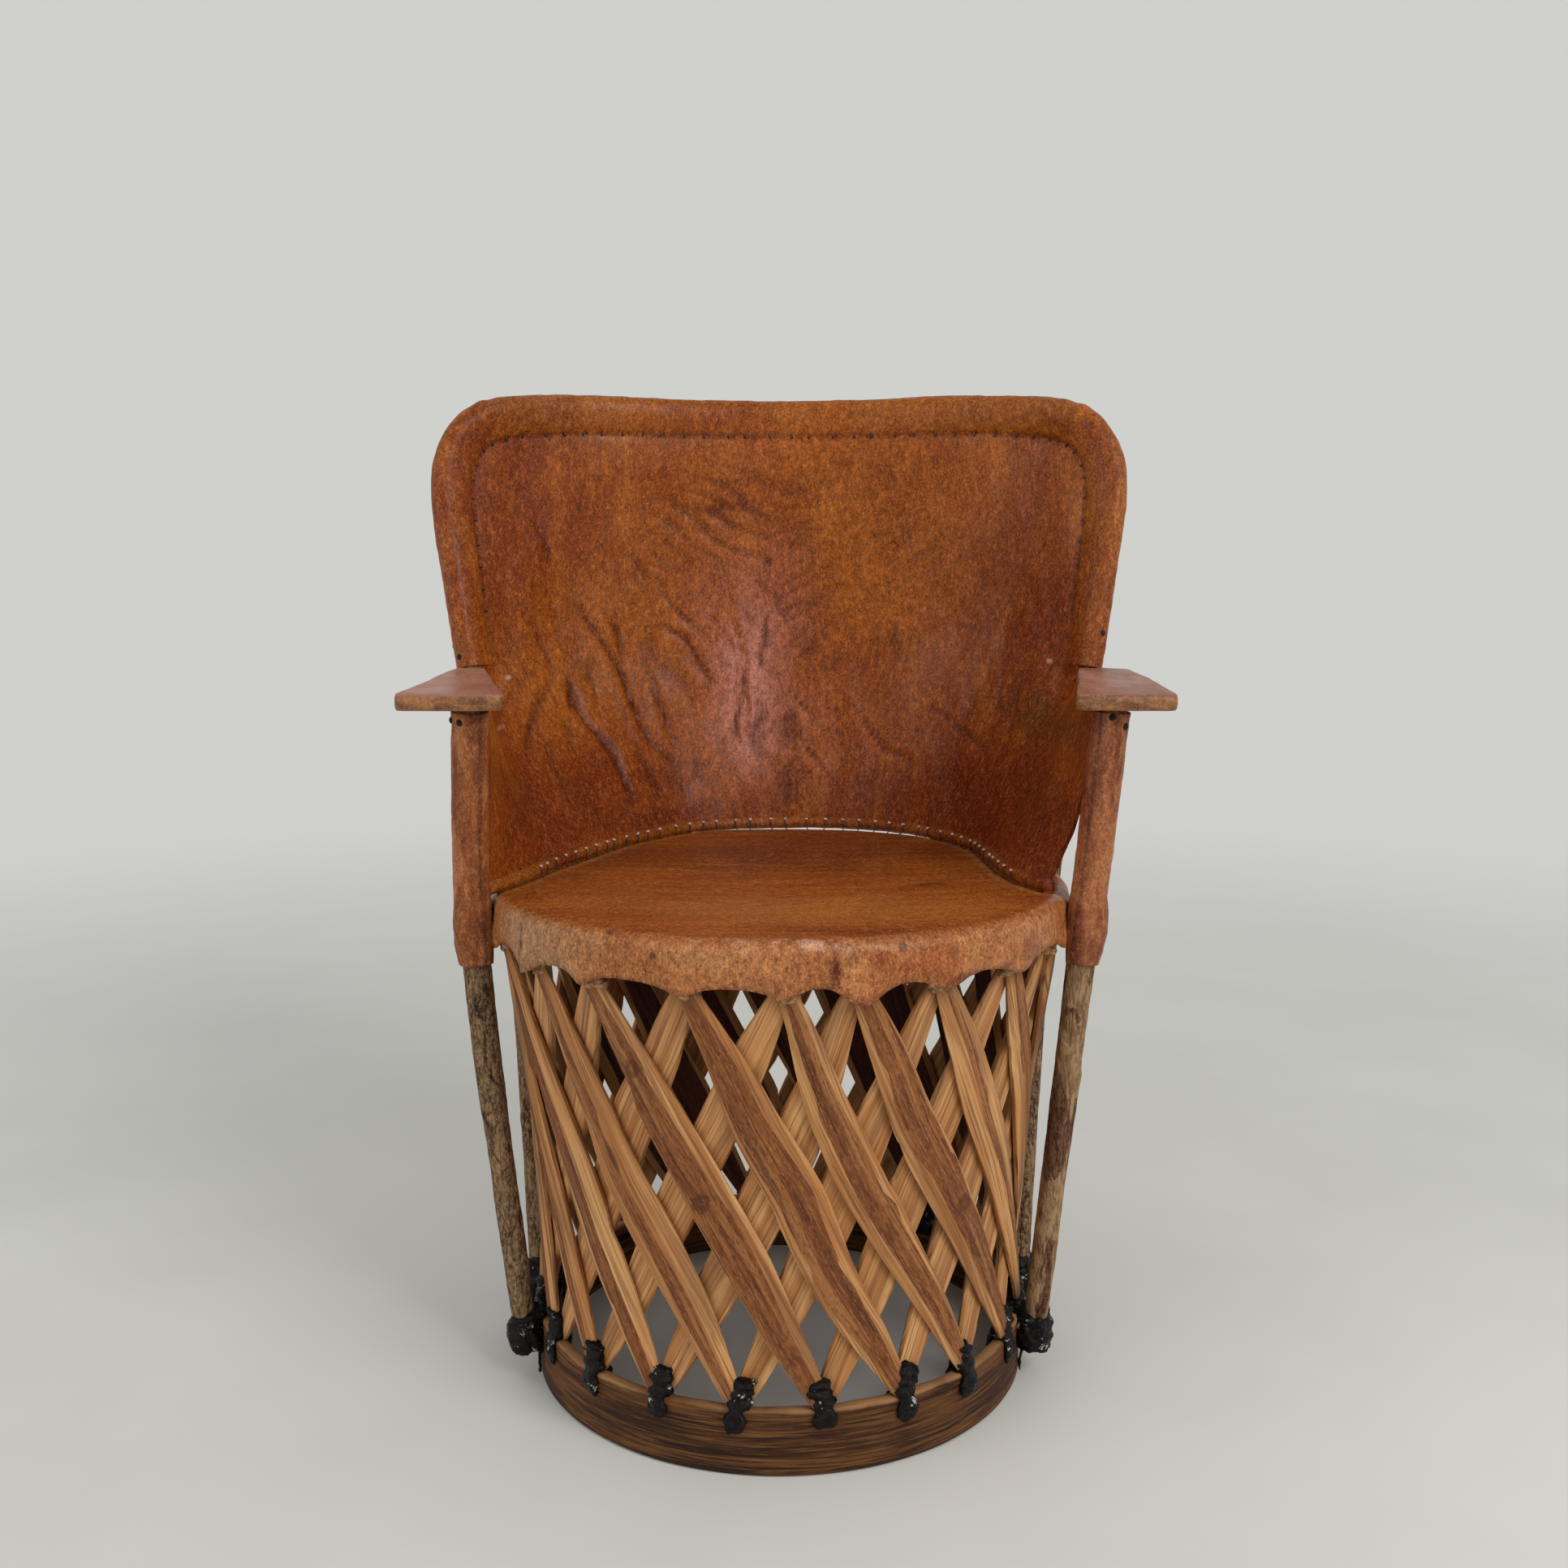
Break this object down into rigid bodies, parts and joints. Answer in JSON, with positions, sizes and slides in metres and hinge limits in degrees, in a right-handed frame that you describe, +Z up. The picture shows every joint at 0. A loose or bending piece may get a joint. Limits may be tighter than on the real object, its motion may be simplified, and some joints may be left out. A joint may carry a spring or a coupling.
{
  "type": "barrel armchair",
  "caption": "Barrel armchair of crossed split-wood slats lashed between two hoops, with a drum-like leather seat, a curved leather back on one bent stick and flat leather arms.",
  "frame": {"origin": "middle of the chair's footprint box, on the floor", "axes": "+Z up, -Y towards the front of the chair, +X to the right of someone who stands in front of it"},
  "size_m": [0.6592, 0.5526, 0.8859],
  "materials": {
    "hoop_wood": "weathered, dull",
    "slat_bark": "bark face, dull",
    "split_wood": "split, dull",
    "barked_pole": "rough bark",
    "black_thong": "tarred, slight gloss",
    "rawhide": "dry rawhide",
    "seat_leather": "worn, semi-gloss",
    "back_leather": "worn, semi-gloss",
    "trim_leather": "worn, semi-gloss"
  },
  "bodies": {
    "root": {"base_hoop": "hoop_wood", "base_lashing": "black_thong", "seat_hoop": "hoop_wood", "seat_lashing": "rawhide", "seat_leather": "seat_leather", "back_stick": "barked_pole", "back_hem_rod": "split_wood", "back_leather": "back_leather", "front_post_left": "barked_pole", "post_sleeve_left": "trim_leather", "post_strap_left": "black_thong", "arm_board_left": "split_wood", "arm_leather_left": "trim_leather", "rear_leg_strap_left": "black_thong", "front_post_right": "barked_pole", "post_sleeve_right": "trim_leather", "post_strap_right": "black_thong", "arm_board_right": "split_wood", "arm_leather_right": "trim_leather", "rear_leg_strap_right": "black_thong", "outer_slat_01": "slat_bark", "outer_slat_02": "slat_bark", "outer_slat_03": "slat_bark", "outer_slat_04": "slat_bark", "outer_slat_05": "slat_bark", "outer_slat_06": "slat_bark", "outer_slat_07": "slat_bark", "outer_slat_08": "slat_bark", "outer_slat_09": "slat_bark", "outer_slat_10": "slat_bark", "outer_slat_11": "slat_bark", "outer_slat_12": "slat_bark", "outer_slat_13": "slat_bark", "outer_slat_14": "slat_bark", "outer_slat_15": "slat_bark", "outer_slat_16": "slat_bark", "outer_slat_17": "slat_bark", "outer_slat_18": "slat_bark", "outer_slat_19": "slat_bark", "outer_slat_20": "slat_bark", "inner_slat_01": "split_wood", "inner_slat_02": "split_wood", "inner_slat_03": "split_wood", "inner_slat_04": "split_wood", "inner_slat_05": "split_wood", "inner_slat_06": "split_wood", "inner_slat_07": "split_wood", "inner_slat_08": "split_wood", "inner_slat_09": "split_wood", "inner_slat_10": "split_wood", "inner_slat_11": "split_wood", "inner_slat_12": "split_wood", "inner_slat_13": "split_wood", "inner_slat_14": "split_wood", "inner_slat_15": "split_wood", "inner_slat_16": "split_wood", "inner_slat_17": "split_wood", "inner_slat_18": "split_wood", "inner_slat_19": "split_wood", "inner_slat_20": "split_wood"}
  },
  "joints": []
}
